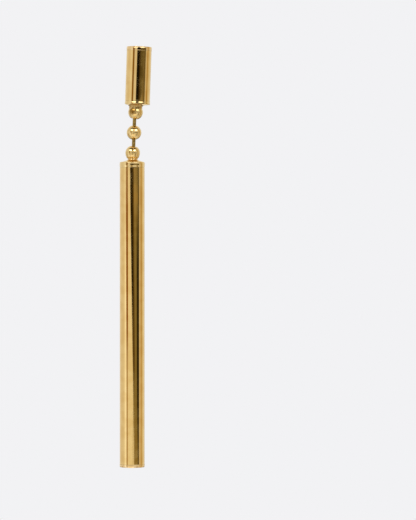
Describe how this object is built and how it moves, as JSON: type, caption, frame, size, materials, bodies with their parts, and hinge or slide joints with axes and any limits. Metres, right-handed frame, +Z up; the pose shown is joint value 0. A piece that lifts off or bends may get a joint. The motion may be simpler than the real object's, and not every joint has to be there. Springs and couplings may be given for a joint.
{
  "type": "dangle earring",
  "caption": "Long gold bar drop earring: a capped tube stud on an ear post, a short ball chain and a long capped tube that swings below it.",
  "frame": {"origin": "on the ear post's axis at the stud's back, where the post leaves the tube and the earlobe sits", "axes": "+Z up along the hanging drop, +Y back through the ear along the post, so that the front faces -Y; +X to the right as seen from the front"},
  "size_m": [0.0052, 0.015, 0.0682],
  "materials": {
    "tube_gold": "polished gold plate",
    "cap_gold": "polished gold plate",
    "bead_gold": "polished gold plate, softer at the solder",
    "link_gold": "satin gold plate, darker in the holes",
    "post_gold": "polished gold plate"
  },
  "bodies": {
    "stud": {"ear_post": "post_gold", "stud_tube": "tube_gold", "stud_top_cap": "cap_gold", "stud_bead_cap": "bead_gold"},
    "chain": {"upper_link": "link_gold", "middle_bead": "bead_gold", "lower_link": "link_gold"},
    "drop": {"drop_bead_cap": "bead_gold", "drop_tube": "tube_gold", "drop_end_cap": "cap_gold"}
  },
  "joints": [
    {"name": "chain_swing", "type": "hinge", "parent": "stud", "child": "chain", "pos_m": [-0.00063, -0.002, -0.00748], "axis": [0, 1, 0], "range_deg": [-18, 18]},
    {"name": "drop_swing", "type": "hinge", "parent": "chain", "child": "drop", "pos_m": [-0.00082, -0.002, -0.01306], "axis": [1, 0, 0], "range_deg": [-18, 18]}
  ]
}
